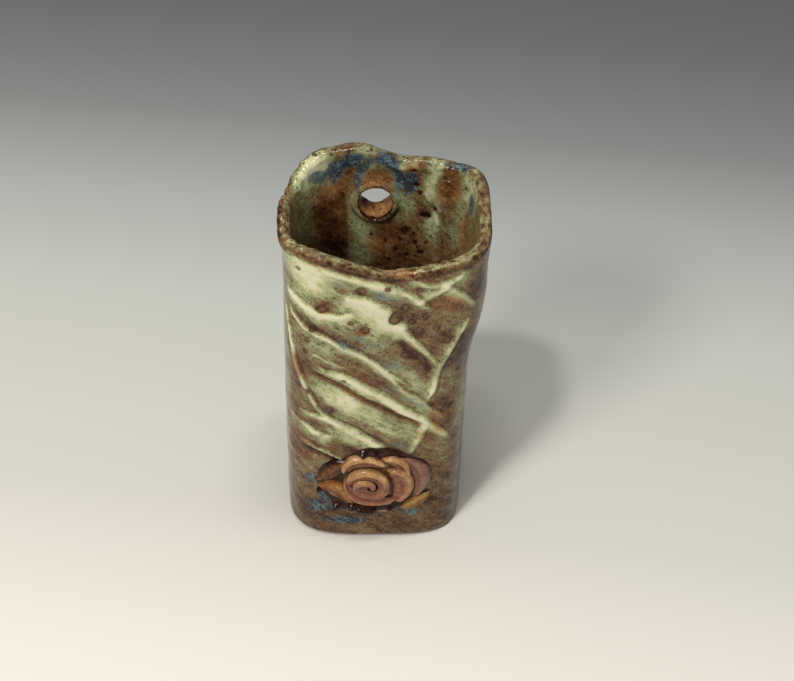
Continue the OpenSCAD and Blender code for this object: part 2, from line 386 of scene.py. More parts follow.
def rose_outline(s, z):
    """Below 1 inside the almond of petals and leaves, and above 1 outside it."""
    across = (s + 2.2) / 19.2
    rise = z - 29
    left = across < 0
    power = np.where(rise > 0, np.where(left, 1.6, 2.6), np.where(left, 3.0, 1.8))
    return np.abs(rise) / np.where(rise > 0, 16.5, 15.5) + np.abs(across) ** power


def paint_outside(angle, z):
    """Relief in millimetres and the glaze's shares on the outer face."""
    s = run_outside(angle)
    x, y = plan(angle, z, 0.0)
    place = (s, z)
    bent = (s + 0.9 * noise(x, y, z, 7, 3, 4), z + 0.9 * noise(x, y, z, 6, 4, 4))
    along = 0.78 * s - 0.62 * z
    across = 0.62 * s + 0.78 * z
    front = smooth((36 - np.abs(s)) / 10)
    drag = noise(along / 4, across, 0, 2.2, 5, 4)
    ragged = 1 + 0.75 * noise(x, y, z, 2.4, 11, 4)
    relief = 0.28 * noise(x, y, z, 9, 6) + 0.10 * noise(x, y, z, 2.6, 7, 2) + 0.10 * drag * front
    upper = smooth((z - 38) / 12) + 1.6 * smooth((z - 84) / 22)
    # Painted shade: the tone's last term paints the body darker towards its right side.
    tone = 0.31 + 0.070 * front * upper - 0.09 * smooth((s - 20) / 12)
    tone = tone + 0.20 * noise(x, y, z, 12, 2, 5) + (0.06 + 0.16 * front) * drag
    tone += (1 - front) * (0.16 * noise(x, y, z / 6, 2.6, 9, 3) + 0.22 * noise(x, y, z / 3, 9, 25, 4))
    for patch in PALE_PATCHES:
        tone += 0.72 * patch[5] * blob(bent, *patch[:5]) * ragged
    for points, half in BROWN_BANDS:
        tone -= 0.17 * stroke(bent, points, half) * ragged
    for patch in BROWN_PATCHES:
        tone -= 0.14 * blob(bent, *patch) * ragged
    for points, half, height, paleness, feather in RIDGES:
        crest, smear, edge = ridge(bent, points, half, feather)
        relief += height * (0.65 * crest + 0.35 * smear - 0.25 * edge)
        # The edge term is a line of painted shade along the ridge's upper side.
        tone += paleness * ((0.38 + 0.17 * ragged) * crest + 0.56 * smear * ragged - 0.50 * edge)
    dark = np.zeros(s.shape)
    rust = np.zeros(s.shape)
    for points, half, depth in GROOVES:
        line = stroke(bent, points, half)
        relief -= depth * line
        tone -= 0.45 * line
        rust = np.maximum(rust, 0.9 * line)
    for points, half in DARK_LINES:
        line = stroke(bent, points, half)
        relief -= 0.25 * line
        dark = np.maximum(dark, 0.6 * line)
    for patch in RUST_PATCHES:
        patch_share = blob(bent, *patch) * ragged
        rust = np.maximum(rust, 0.75 * patch_share)
        tone -= 0.15 * patch_share
    below_lip = lip_z(angle) - z + 1.2 * noise(x, y, z, 5, 8)
    lip_band = smooth((4.6 - below_lip) / 2.2)
    tone = tone - 0.40 * lip_band + 0.06 * smooth((1.6 - below_lip) / 1.5)
    rust = np.maximum(rust, 0.55 * lip_band)
    # Painted light: the left side of the body is painted lighter; the body is also darker towards the bottom.
    tone = tone + 0.07 * smooth((-24 - s) / 10) * smooth((z - 30) / 20) - 0.05 * smooth((60 - z) / 20)
    foot = smooth((24 - z) / 14)
    tone -= 0.12 * foot
    rust = np.maximum(rust, 0.35 * foot)
    blue = np.zeros(s.shape)
    for patch in BLUE_PATCHES:
        blue = np.maximum(blue, 0.45 * blob(bent, *patch) * ragged)
    for along_wall, height, radius in PITS:
        distance = np.hypot(bent[0] - along_wall, bent[1] - height) / radius
        relief = relief - 0.35 * bell(distance, 1) + 0.12 * bell(distance - 1.2, 0.35)
        tone -= 0.20 * smooth(2.0 - distance)
        tone += (0.22 - tone) * 0.85 * smooth((1.25 - distance) / 0.4)
        dark = np.maximum(dark, 0.70 * bell(distance - 1.0, 0.28))
    outline = rose_outline(s + 0.5 * noise(x, y, z, 4, 10), z)
    puddle = smooth((1.06 - outline) / 0.10)
    rim_line = bell(outline - 1.0, 0.05)
    rosette = smooth((1.1 - np.hypot((s + 1) / 10.8, (z - 31.4) / 11.6)) / 0.15)
    top_pool = blob(place, -2.5, 43.4, 5.6, 1.6, -0.08) * puddle
    bottom_pool = blob(place, -6, 16.8, 9.5, 2.6, -0.08)
    under = blob(place, -8, 12.8, 8.5, 1.3, 0)
    amber = smooth(noise(x, y, z, 5, 33, 3) * 2.2)
    deep = 0.95 - 0.35 * amber - 0.45 * rosette
    dark = np.maximum(dark * (1 - puddle), np.maximum(deep * puddle, 0.85 * rim_line))
    dark = np.maximum(dark, 1.3 * np.maximum(top_pool, bottom_pool))
    tone += (0.20 + 0.06 * rosette - tone) * puddle
    gold_chip = blob(place, 0.6, 15.1, 1.9, 0.6, -0.25)
    tone += (0.62 - tone) * gold_chip
    dark = dark * (1 - gold_chip)
    rust = np.maximum(rust, puddle)
    rust = np.maximum(rust, 0.95 * under)
    tone += (0.16 - tone) * under
    for patch in BLUE_POOLS:
        blue = np.maximum(blue, 0.9 * blob(bent, *patch) * ragged)
    relief = relief * (1 - 0.7 * puddle) + 0.5 * puddle + 0.7 * top_pool
    relief += 0.7 * bottom_pool * (1 + 0.6 * noise(x, y, z, 3, 12, 2))
    for along_wall, height, size in BEADS:
        bead = np.exp(-np.hypot((s - along_wall) / size, (z - height) / (0.8 * size)) ** 2)
        relief += 1.5 * size * bead
    for seam in (SEAM_RIGHT, SEAM_LEFT):
        relief -= 0.35 * bell(s - run_outside(seam), 0.6)
        tone -= 0.12 * bell(s - run_outside(seam), 1.0)
    relief = relief * smooth((z - 0.3) / 3)
    return relief, dict(tone=tone, rust=rust, blue=blue, dark=dark)


# Lines on the inner face: places along the wall from the middle of the back, and heights.
# Brown runs: points, half width
INNER_BROWN = (
    (((-9, 131), (-8, 122), (-11, 114)), 3.0), (((22, 127), (22, 118), (24, 104)), 3.4),
    (((-15, 118), (-15, 105), (-15, 80)), 6.5), (((3, 104), (5, 95), (4, 80)), 6.5),
    (((12, 118), (14, 111), (18, 109)), 1.6),
)
INNER_RUST = (
    (0, 121, 5, 3.8), (4, 96, 8, 9), (22, 119, 3.5, 7), (-12, 118, 4, 6), (11, 125, 3, 2),
    (-15, 105, 6, 14), (29, 104, 3, 7),
)
INNER_PALE = (
    (-20, 127, 7, 6, 0, 0.50), (17, 127, 2, 6, 0, 0.42), (16, 117, 1.6, 5, 0, 0.32),
    (31, 124, 5, 8, 0, 0.38), (-3, 129, 3, 4, 0, 0.30), (18, 103, 3, 6, 0, 0.28), (9, 127, 3, 4, 0, 0.25),
    (-28, 112, 6, 14, 0, 0.14),
    (-5, 101, 4, 12, 0, 0.16), (10, 113, 4, 6, 0, 0.16), (26, 108, 3, 10, 0, 0.2), (-6, 90, 4, 5, 0, 0.14),
)
INNER_BLUE_SPOTS = (
    (-17, 122.5, 2.8, 2.6), (-12, 124, 2.4, 4.0, 0.4), (22, 127.5, 4.6, 1.8), (32, 118, 2.4, 3),
    (-7, 127, 4, 2.4, 0.4), (10, 119, 2.4, 4),
)
INNER_BLUE_ARC = ((-6, 115), (-5, 123), (-1, 128), (4, 127), (7, 122), (7, 115))
INNER_SPOTS = (
    (11, 124, 1.1), (12, 118, 1.3), (13, 115, 1.0), (15, 107, 1.9), (9, 101, 1.5), (18, 110, 1.0),
    (2, 97, 0.8), (6, 93, 1.0), (-2, 100, 0.7), (12, 96, 1.0), (14, 92, 1.1), (27, 121, 0.8),
    (13, 94, 0.7), (10, 91, 0.8), (7, 97, 0.7), (11, 99, 0.6), (4, 89, 0.9), (16, 96, 0.7),
)
INNER_CRACK = ((12, 115), (17, 111), (20, 107), (21.5, 101), (22, 92), (22, 80))


def paint_inside(angle, z):
    """Relief in millimetres, towards the inside, and the glaze's shares on the inner face."""
    s = run_inside(angle)
    x, y = plan(angle, z, WALL)
    bent = (s + 1.3 * noise(x, y, z, 5, 13, 4), z + 1.3 * noise(x, y, z, 5, 14, 4))
    ragged = 1 + 0.75 * noise(x, y, z, 2.4, 19, 4)
    relief = 0.28 * noise(x, y, z, 8, 15) + 0.10 * noise(x, y, z, 2.4, 16, 2)
    # Lower down the inner face the glaze is painted darker and browner: partly brown glaze, partly painted
    # shade of the deep inside.
    tone = 0.40 + 0.18 * noise(x, y, z / 2, 9, 17, 4) - 0.14 * smooth((104 - z) / 22)
    rust = 0.12 + 0.28 * smooth((108 - z) / 20)
    for points, half in INNER_BROWN:
        tone -= 0.14 * stroke(bent, points, half) * ragged
    for patch in INNER_PALE:
        share = blob(bent, *patch[:5]) * ragged
        tone += patch[5] * share
        rust = rust * (1 - 0.9 * np.clip(share, 0, 1))
    for patch in INNER_RUST:
        rust = np.maximum(rust, 0.75 * blob(bent, *patch))
    blue = 1.0 * stroke(bent, INNER_BLUE_ARC, 1.9) * ragged
    for patch in INNER_BLUE_SPOTS:
        blue = np.maximum(blue, 1.05 * blob(bent, *patch) * ragged)
    dark = 0.40 * stroke(bent, INNER_CRACK, 0.8)
    relief -= 0.45 * stroke(bent, INNER_CRACK, 0.8)
    # A raised step on the inner wall, 10 to 22 mm left of the middle of the back, painted darker there as
    # painted shade.
    step = smooth((-9.5 - s) / 1.0) * smooth((s + 22) / 4) * smooth((118 - z) / 5)
    relief += 0.35 * step
    tone -= 0.16 * step
    for along_wall, height, radius in INNER_SPOTS:
        distance = np.hypot(bent[0] - along_wall, bent[1] - height) / radius
        relief -= 0.25 * bell(distance, 1)
        tone -= 0.14 * smooth(1.7 - distance)
        dark = np.maximum(dark, 0.75 * smooth((0.95 - distance) * 3.5))
    below_lip = lip_z(angle) - z + 1.0 * noise(x, y, z, 5, 18)
    back = smooth((facing_back(angle) - 0.2) * 2)
    lip_band = smooth((2.6 - below_lip) / 1.6) * (1 - 0.5 * back)
    tone -= 0.20 * lip_band
    rust = np.maximum(rust, 0.7 * lip_band)
    ring = np.hypot(x - HOLE_X, z - HOLE_Z)
    near_hole = smooth((facing_back(angle) - 0.5) * 9)
    collar = near_hole * np.exp(-(np.maximum(0, ring - HOLE_R - 0.9) / 1.3) ** 2)
    low_side = smooth((HOLE_Z + 3 - z) / 7)
    relief += collar * (0.9 + 1.2 * low_side + 0.35 * noise(x, y, z, 2.6, 20, 2))
    rust = np.maximum(rust, near_hole * low_side * smooth((HOLE_R + 2.2 - ring) / 1.2))
    tone -= 0.14 * near_hole * (1 - low_side) * smooth((HOLE_R + 1.6 - ring) / 1.2)
    below_hole = smooth((HOLE_Z - z) / 3)
    dark = np.maximum(dark, near_hole * 0.65 * below_hole * bell(ring - HOLE_R - 2.7, 0.7))
    dark = np.maximum(dark, near_hole * (0.45 + 0.4 * below_hole) * bell(ring - HOLE_R - 0.7, 0.7))
    # A raised bead on the inner shoulder below the lip, its glaze painted lighter as a painted highlight.
    shoulder_highlight = bell(s - 7, 6) * bell(lip_z(angle) - z - 3.0, 1.2)
    relief += 0.9 * shoulder_highlight
    tone += 0.18 * shoulder_highlight
    # Below about 60 mm the inner face is painted dark: partly pooled glaze, partly painted shade of the deep
    # inside.
    dark = np.maximum(dark, 0.5 * smooth((60 - z) / 30))
    relief = relief * smooth((z - FLOOR) / 3)
    return relief, dict(tone=tone, rust=rust, blue=blue, dark=dark)


# ---- mesh helpers
SHARES = ("tone", "rust", "blue", "dark")


def make_piece(node, points, faces, shares, material):
    """A smooth-shaded mesh piece that replaces a node, with its colour shares as attributes."""
    name = node + "_glazed"
    mesh = bpy.data.meshes.new(name)
    mesh.from_pydata(points.tolist(), [], faces)
    for share in SHARES:
        values = np.clip(np.asarray(shares[share], float).reshape(-1), 0, 1)
        mesh.attributes.new(share, "FLOAT", "POINT").data.foreach_set("value", values.astype(np.float32))
    mesh.update()
    outward = bmesh.new()
    outward.from_mesh(mesh)
    bmesh.ops.recalc_face_normals(outward, faces=outward.faces)
    outward.to_mesh(mesh)
    outward.free()
    mesh.shade_smooth()
    mesh.materials.append(material)
    piece = bpy.data.objects.new(name, mesh)
    bpy.context.scene.collection.objects.link(piece)
    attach(piece, "root")
    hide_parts(node)


def ring_faces(columns, rows):
    """Quads between columns of points, each column a closed loop of rows."""
    faces = []
    for i in range(columns - 1):
        for j in range(rows):
            k = (j + 1) % rows
            faces.append((i * rows + j, (i + 1) * rows + j, (i + 1) * rows + k, i * rows + k))
    return faces


def pinches(angle):
    """How strongly the lip is pinched there, and the wave of the pinches from 0 to 2."""
    s = run_outside(angle)
    pinched = smooth(1.5 - np.abs(np.mod(angle, 360) - 185) / 42)
    return pinched, 1 + np.cos(2 * np.pi * s / SCALLOP + 2 * noise(s, 0, 0, 14, 26))


def lip_wobble(angle):
    """How far the hand-cut lip dips below its smooth line: most at the left, where it is pinched."""
    s = run_outside(angle)
    pinched, wave = pinches(angle)
    slow = 0.35 * (1 + noise(s, 0, 0, 9, 21))
    return slow + (0.18 + 0.45 * pinched) * (1 + noise(s, 0, 0, 3.6, 22, 2)) + 0.35 * pinched * wave


def lip_shares(angle, share, inner):
    """The lip's glaze: thin and brown along its outer edge, and more like the inside at the back."""
    back = smooth((facing_back(angle) - 0.15) * 2)
    inward = smooth((share - 0.15) / 0.4) * back
    s = run_outside(angle)
    grain = noise(s, 8 * share, 0, 1.6, 23, 3)
    patch = noise(s, 8 * share, 0, 7, 28, 2)
    specks = smooth((noise(s, 9 * share, 0, 1.3, 27, 2) - 0.12) / 0.25)
    tone = 0.41 + 0.50 * grain + 0.22 * patch - 0.16 * bell(share - 0.05, 0.16)
    tone = tone + inward * (inner["tone"] - tone)
    rust = 0.34 - 0.20 * inward + 0.5 * patch
    blue = inward * inner["blue"]
    edge = 0.55 * bell(share - 0.02, 0.10) * smooth(grain + 0.6)
    dark = np.maximum(edge, 0.62 * specks)
    return dict(tone=tone, rust=rust, blue=blue, dark=dark)


FOOT_STEPS = np.array([0.0, 0.03, 0.12, 0.3, 0.55, 0.8])


def wall_grid(first, last, columns, outer_rows, inner_rows, lip_rows=12):
    """Points and glaze shares of a wall slab: columns of closed loops, up the outside, over the lip
    and down the inside. Also how many rows of each loop are on its outer side."""
    run = np.linspace(0, 1, columns)
    table = np.linspace(first, last, 2000)
    x, y = plan(table, 60.0, 0.0)
    length = np.concatenate([[0.0], np.cumsum(np.hypot(np.diff(x), np.diff(y)))])
    angle = np.interp(run * length[-1], length, table)[:, None]
    top = lip_z(angle) - lip_wobble(angle) - LIP_R
    foot = FOOT_STEPS * FOOT_R
    climb = np.linspace(0, 1, outer_rows)
    z_out = np.concatenate([foot + 0 * angle, FOOT_R + (top - FOOT_R) * climb], 1)
    turn = np.linspace(0, np.pi, lip_rows + 2)[1:-1]
    z_lip = top + LIP_R * np.sin(turn)
    z_in = np.concatenate([top + (FLOOR - top) * np.linspace(0, 1, inner_rows), 0 * angle], 1)
    relief_out, shares_out = paint_outside(angle + 0 * z_out, z_out)
    inset_out = foot_inset(z_out) - relief_out
    half = thickness(angle, z_lip) / 2
    share = (1 - np.cos(turn)) / 2
    lip_out = paint_outside(angle + 0 * z_lip, z_lip)[0]
    lip_in, shares_lip_in = paint_inside(angle + 0 * z_lip, z_lip)
    lumps = noise(run_outside(angle), 4 * share, 0, 2.3, 24, 3) * np.sin(turn)
    inset_lip = half * (1 - np.cos(turn)) - (1 - share) * lip_out + share * lip_in
    pinched, wave = pinches(angle)
    inset_lip = inset_lip + (0.40 + 0.4 * pinched) * lumps + 0.45 * pinched * wave * (1 - share)
    z_lip = z_lip + 0.35 * lumps
    z_at = np.maximum(z_in, FLOOR)
    relief_in, shares_in = paint_inside(angle + 0 * z_in, z_at)
    inset_in = thickness(angle, z_at) + relief_in
    shares_lip = lip_shares(angle + 0 * z_lip, share + 0 * z_lip, shares_lip_in)
    z = np.concatenate([z_out, z_lip, z_in], 1)
    z_plan = np.concatenate([z_out, z_lip, z_at], 1)
    inset = np.concatenate([inset_out, inset_lip, inset_in], 1)
    x, y = plan(angle, z_plan, inset)
    shares = {n: np.concatenate([shares_out[n], shares_lip[n], shares_in[n]], 1) for n in SHARES}
    return to_frame(x, y, z), z.shape[1], z_out.shape[1], shares


def top_and_under(top, under):
    """Rows across the top of a piece, and back across its underside."""
    return np.concatenate([top, under[:, ::-1]], 1)


def clip_to_box(points):
    """The walls never leave the box of the solids."""
    return np.clip(points, np.array(CAD_BOX[0]) + 1e-5, np.array(CAD_BOX[1]) - 1e-5)


def stitch(first, second, first_at, second_at):
    """Triangles between two lines of points, in the order of each point's own rising measure."""
    faces = []
    i = 0
    j = 0
    while i < len(first) - 1 or j < len(second) - 1:
        if j == len(second) - 1 or (i < len(first) - 1 and first_at[i + 1] <= second_at[j + 1]):
            faces.append((first[i], first[i + 1], second[j]))
            i += 1
        else:
            faces.append((first[i], second[j + 1], second[j]))
            j += 1
    return faces


def end_cap(first, rows, turn_row):
    """Triangles that close the end of a wall: they climb its outer and inner rows together."""
    outer = range(first, first + turn_row)
    inner = range(first + rows - 1, first + turn_row - 1, -1)
    outer_at = np.arange(-1, len(outer)) * len(inner)
    inner_at = np.arange(-1, len(inner)) * len(outer)
    return stitch(outer, inner, outer_at, inner_at)


def wall_faces(columns, rows, turn_row):
    return (ring_faces(columns, rows) + end_cap(0, rows, turn_row)
            + [face[::-1] for face in end_cap((columns - 1) * rows, rows, turn_row)])


# ---- materials
def rgb(r, g, b):
    """A screen colour from 0 to 255 as the linear colour that a shader takes."""
    linear = [((c / 255 + 0.055) / 1.055) ** 2.4 if c > 10 else c / 255 / 12.92 for c in (r, g, b)]
    return (*linear, 1.0)


class Glaze:
    """A small kit for building one procedural material."""

    def __init__(self, name):
        self.material = bpy.data.materials.new(name)
        self.material.use_nodes = True
        self.tree = self.material.node_tree
        self.shader = self.tree.nodes["Principled BSDF"]
        self.place = self.node("TexCoord").outputs["Object"]

    def link(self, value, socket):
        if isinstance(value, bpy.types.NodeSocket):
            self.tree.links.new(value, socket)
        else:
            socket.default_value = value

    def node(self, kind, inputs=None, **settings):
        """A new shader node with its settings, and its inputs set or linked."""
        node = self.tree.nodes.new("ShaderNode" + kind)
        for name, value in settings.items():
            setattr(node, name, value)
        for name, value in (inputs or {}).items():
            self.link(value, node.inputs[name])
        return node

    def math(self, operation, a, b):
        return self.node("Math", {0: a, 1: b}, operation=operation).outputs[0]

    def scaled(self, value, factor, start=0.0):
        """start + factor x value, where start is a number or another socket."""
        return self.math("ADD", start, self.math("MULTIPLY", value, factor))

    def share(self, name):
        return self.node("Attribute", attribute_name=name).outputs["Fac"]

    def noise(self, size_mm, detail=4.0, roughness=0.6, distortion=0.0):
        return self.node("TexNoise", {
            "Vector": self.place, "Scale": 1000.0 / size_mm, "Detail": detail, "Roughness": roughness,
            "Distortion": distortion}).outputs["Fac"]

    def streaks(self, width_mm, length_mm, slope_degrees):
        """Noise drawn out into streaks that run down to the right across the front."""
        turned = self.node("Mapping", {
            "Vector": self.place, "Rotation": (0.0, math.radians(slope_degrees), 0.0),
            "Scale": (length_mm * MM, length_mm * MM, width_mm * MM)}, vector_type="TEXTURE")
        return self.node("TexNoise", {
            "Vector": turned.outputs["Vector"], "Scale": 1.0, "Detail": 4.0}).outputs["Fac"]

    def cells(self, size_mm):
        return self.node("TexVoronoi", {"Vector": self.place, "Scale": 1000.0 / size_mm}).outputs["Distance"]

    def step(self, value, low, high):
        """0 below low, 1 above high, and smooth between."""
        return self.node("MapRange", {"Value": value, "From Min": low, "From Max": high},
                         interpolation_type="SMOOTHSTEP").outputs["Result"]

    def below(self, value, low, high):
        """1 below low, 0 above high, and smooth between."""
        return self.math("SUBTRACT", 1.0, self.step(value, low, high))

    def mix(self, amount, first, second):
        node = self.node("Mix", {"Factor": amount, "A": first, "B": second}, data_type="RGBA")
        return node.outputs["Result"]

    def ramp(self, value, stops):
        """A colour for each value, from stops of value and colour."""
        node = self.node("ValToRGB", {"Fac": value})
        elements = node.color_ramp.elements
        for number, (position, color) in enumerate(stops):
            element = elements[number] if number < 2 else elements.new(position)
            element.position = position
            element.color = rgb(*color)
        return node.outputs["Color"]

    def wobble(self, *layers):
        """The sum of noises about zero, each with its own strength."""
        total = 0.0
        for noise_value, strength in layers:
            total = self.scaled(self.math("SUBTRACT", noise_value, 0.5), strength, total)
        return total

    def broken(self, name, wander, amount, low, high):
        """A share with its edge broken up by a noise about zero."""
        return self.step(self.scaled(wander, amount, self.share(name)), low, high)

    def finish(self, color, fine, gloss, height, bump, depth_mm=0.25):
        """Colour, a roughness from the fine noise with gloss as its start and spread, and bump."""
        relief = self.node("Bump", {"Height": height, "Strength": bump, "Distance": depth_mm * MM})
        self.link(color, self.shader.inputs["Base Color"])
        self.link(self.scaled(fine, gloss[1], gloss[0]), self.shader.inputs["Roughness"])
        self.link(relief.outputs["Normal"], self.shader.inputs["Normal"])
        self.shader.inputs["Specular IOR Level"].default_value = SPECULAR
        return self.material


def body_glaze():
    """Layered reactive glaze: brown where it is thin, then green, and cream where it has run thick."""
    g = Glaze("body_glaze")
    broad = g.noise(3.6, 5, 0.6, 0.6)
    medium = g.noise(1.5, 4, 0.6, 0.5)
    fine = g.noise(0.7, 3, 0.7)
    streaky = g.streaks(1.1, 6.0, 38)
    wander = g.wobble((broad, 0.60), (medium, 0.55), (fine, 0.62), (streaky, 0.45))
    wandering = g.math("ADD", 0.5, wander)
    thick = g.share("tone")
    tone = g.math("ADD", thick, g.math("MULTIPLY", wander, g.step(thick, 1.25, 0.55)))
    color = g.ramp(tone, (
        (0.00, (54, 32, 16)), (0.14, (88, 62, 38)), (0.28, (116, 90, 60)), (0.40, (130, 110, 76)),
        (0.50, (136, 134, 92)), (0.61, (152, 158, 116)), (0.74, (180, 182, 134)),
        (0.87, (208, 204, 158)), (1.00, (228, 222, 190))))
    rusty = g.ramp(tone, ((0.0, (56, 30, 14)), (0.20, (96, 62, 34)), (0.40, (132, 92, 56)),
                          (0.58, (164, 116, 68)), (0.85, (192, 160, 108))))
    color = g.mix(g.broken("rust", wander, 1.2, 0.25, 0.85), color, rusty)
    blue = g.ramp(wandering, ((0.36, (14, 24, 50)), (0.5, (44, 66, 88)), (0.64, (108, 132, 122))))
    color = g.mix(g.math("MULTIPLY", g.broken("blue", wander, 2.2, 0.22, 0.90), 0.9), color, blue)
    dark = g.ramp(wandering, ((0.34, (14, 5, 4)), (0.56, (46, 18, 9)), (0.78, (104, 50, 22))))
    color = g.mix(g.broken("dark", wander, 0.8, 0.20, 0.80), color, dark)
    thin = g.below(tone, 0.52, 0.90)
    where = g.math("MULTIPLY", g.step(g.noise(5.0, 3), 0.40, 0.54), thin)
    specks = g.math("MULTIPLY", g.below(g.cells(1.0), 0.16, 0.30), g.math("MULTIPLY", where, 0.85))
    color = g.mix(specks, color, rgb(50, 29, 16))
    dots = g.below(g.scaled(wander, 0.3, g.cells(2.6)), 0.10, 0.20)
    color = g.mix(g.math("MULTIPLY", dots, g.math("MULTIPLY", thin, 0.75)), color, rgb(62, 38, 24))
    height = g.scaled(fine, 0.35, g.math("MULTIPLY", medium, 0.8))
    return g.finish(color, fine, (0.04, 0.10), height, 0.32)


def rose_noises(g, broad_strength):
    """The noise that breaks up the rose's colours, the fine noise, and the height of its bumps."""
    broad = g.noise(3.0, 5, 0.6, 0.8)
    fine = g.noise(0.7, 4, 0.65)
    bumps = g.scaled(fine, 0.3, g.math("MULTIPLY", broad, 0.8))
    return g.wobble((broad, broad_strength), (fine, 0.6)), fine, bumps


def petal_glaze():
    """Rose petals: mauve clay under clear glaze, gold where the edges stand up, and amber and near-black
    painted shade in the folds.
    """
    g = Glaze("petal_glaze")
    wander, fine, bumps = rose_noises(g, 0.8)
    color = g.ramp(g.math("ADD", g.share("tone"), wander), (
        (0.00, (34, 14, 8)), (0.16, (84, 42, 20)), (0.32, (122, 76, 54)), (0.50, (142, 96, 74)),
        (0.66, (158, 112, 80)), (0.82, (178, 136, 86)), (1.00, (204, 168, 116))))
    color = g.mix(g.broken("rust", wander, 1.0, 0.3, 0.9), color, rgb(150, 82, 30))
    color = g.mix(g.broken("dark", wander, 0.9, 0.25, 0.80), color, rgb(38, 14, 8))
    specks = g.below(g.cells(3.4), 0.05, 0.13)
    color = g.mix(g.math("MULTIPLY", specks, 0.8), color, rgb(52, 26, 14))
    return g.finish(color, fine, (0.08, 0.14), bumps, 0.3)


def leaf_glaze():
    """Leaves: gold-brown over dark amber, with mauve and olive ones on the right."""
    g = Glaze("leaf_glaze")
    wander, fine, bumps = rose_noises(g, 0.9)
    tone = g.math("ADD", g.share("tone"), wander)
    gold = g.ramp(tone, ((0.0, (36, 14, 6)), (0.25, (92, 50, 18)), (0.5, (140, 92, 42)),
                         (0.8, (188, 144, 84))))
    mauve = g.ramp(tone, ((0.0, (60, 30, 24)), (0.3, (116, 76, 62)), (0.6, (146, 106, 90)),
                          (0.85, (166, 130, 104))))
    color = g.mix(g.broken("rust", wander, 0.6, 0.3, 0.7), gold, mauve)
    color = g.mix(g.broken("blue", wander, 1.2, 0.3, 0.8), color, rgb(74, 84, 62))
    color = g.mix(g.broken("dark", wander, 0.9, 0.25, 0.80), color, rgb(26, 10, 6))
    return g.finish(color, fine, (0.08, 0.14), bumps, 0.3)


BODY = body_glaze()
PETAL = petal_glaze()
LEAF = leaf_glaze()


# ---- the slabs
def build_front_wrap():
    columns = 264
    points, rows, turn_row, shares = wall_grid(SEAM_LEFT, 360 + SEAM_RIGHT, columns, 205, 105)
    faces = wall_faces(columns, rows, turn_row)
    make_piece("front_wrap", clip_to_box(points), faces, shares, BODY)


def zip_loops(first, second, first_turn, second_turn):
    """Triangles between two closed loops of points, each sorted by its turn round the same axis."""
    full = 2 * math.pi
    return stitch([*first, first[0]], [*second, second[0]],
                  [*first_turn, first_turn[0] + full], [*second_turn, second_turn[0] + full])


def build_back_slab():
    columns = 100
    points, rows, turn_row, shares = wall_grid(SEAM_RIGHT, SEAM_LEFT, columns, 105, 220)
    points = clip_to_box(points)
    centre_x = (HOLE_X + SHIFT_X) * MM
    centre_z = HOLE_Z * MM
    dx = points[:, 0] - centre_x
    dz = points[:, 2] - centre_z
    radius = np.hypot(dx, dz)
    turn = np.arctan2(dz, dx)
    cut_r = (HOLE_R + 0.5) * MM
    drilled = radius < cut_r
    faces = []
    rim = {}
    for face in wall_faces(columns, rows, turn_row):
        if len(face) == 4 and any(drilled[k] for k in face):
            for a, b in zip(face, face[1:] + face[:1]):
                rim[(a, b)] = True
        else:
            faces.append(face)
    edges = [e for e in rim if (e[1], e[0]) not in rim and not drilled[e[0]] and not drilled[e[1]]]
    rim_points = {k for e in edges for k in e}
    rim_y = points[list(rim_points), 1]
    inner_y = (rim_y.min() + rim_y.max()) / 2
    inside = sorted((k for k in rim_points if points[k, 1] < inner_y), key=lambda k: turn[k])
    outside = sorted((k for k in rim_points if points[k, 1] >= inner_y), key=lambda k: turn[k])
    for loop in (inside, outside):
        for k in loop:
            pull = (HOLE_R + 0.55) * MM / radius[k]
            points[k, 0] = centre_x + dx[k] * pull
            points[k, 2] = centre_z + dz[k] * pull
    sides = 72
    around = np.linspace(-np.pi, np.pi, sides, endpoint=False) + 0.01
    y_in = np.interp(around, turn[inside], points[inside, 1], period=2 * np.pi)
    y_out = float(np.mean(points[outside, 1]))
    lumps = noise(8 * np.cos(around), 8 * np.sin(around), 0, 3.5, 31)
    rings = ((0.05, 0.30), (0.12, 0.08), (0.28, 0.0), (0.48, -0.1), (0.68, -0.3), (0.86, -0.7), (0.96, -0.6))
    extra = []
    for depth, flare in rings:
        sill = 0.9 * smooth(depth * 1.3 - 0.3) * smooth(-np.sin(around) * 1.4)
        r = (HOLE_R + flare - sill + (0.08 + 0.45 * depth) * lumps + 0.05) * MM
        y = y_in + (y_out - y_in) * depth
        extra.append(np.stack([centre_x + r * np.cos(around), y, centre_z + r * np.sin(around)], -1))
    start = len(points)
    points = np.vstack([points, *extra])
    loops = [list(range(start + k * sides, start + (k + 1) * sides)) for k in range(len(rings))]
    faces += zip_loops(inside, loops[0], turn[inside], around)
    for low, high in zip(loops, loops[1:]):
        for k in range(sides):
            m = (k + 1) % sides
            faces.append((low[k], low[m], high[m], high[k]))
    faces += [tuple(reversed(f)) for f in zip_loops(outside, loops[-1], turn[outside], around)]
    depths = np.repeat([depth for depth, flare in rings], sides)
    bottom = np.tile(smooth(-np.sin(around) * 2), len(rings))
    near = 1 - smooth((depths - 0.10) / 0.3)
    turned = np.tile(around, len(rings))
    specks = noise(6 * np.cos(turned), 6 * np.sin(turned), 5 * depths, 1.5, 32, 2)
    hole_shares = dict(tone=0.50 - 0.10 * near, rust=1 - 0.3 * near, blue=0 * near,
                       dark=near * (0.45 + 0.30 * bottom) + 0.3 * smooth((depths - 0.8) * 6)
                       + 0.7 * smooth((specks - 0.15) / 0.2))
    shares = {n: np.concatenate([shares[n].reshape(-1), hole_shares[n]]) for n in SHARES}
    faces, points, shares = drop_loose(faces, points, shares)
    make_piece("back_slab", points, faces, shares, BODY)


def drop_loose(faces, points, shares):
    """The same faces without the points that none of them uses."""
    used = sorted({k for face in faces for k in face})
    new_index = {old: new for new, old in enumerate(used)}
    faces = [tuple(new_index[k] for k in face) for face in faces]
    return faces, points[used], {n: shares[n][used] for n in shares}


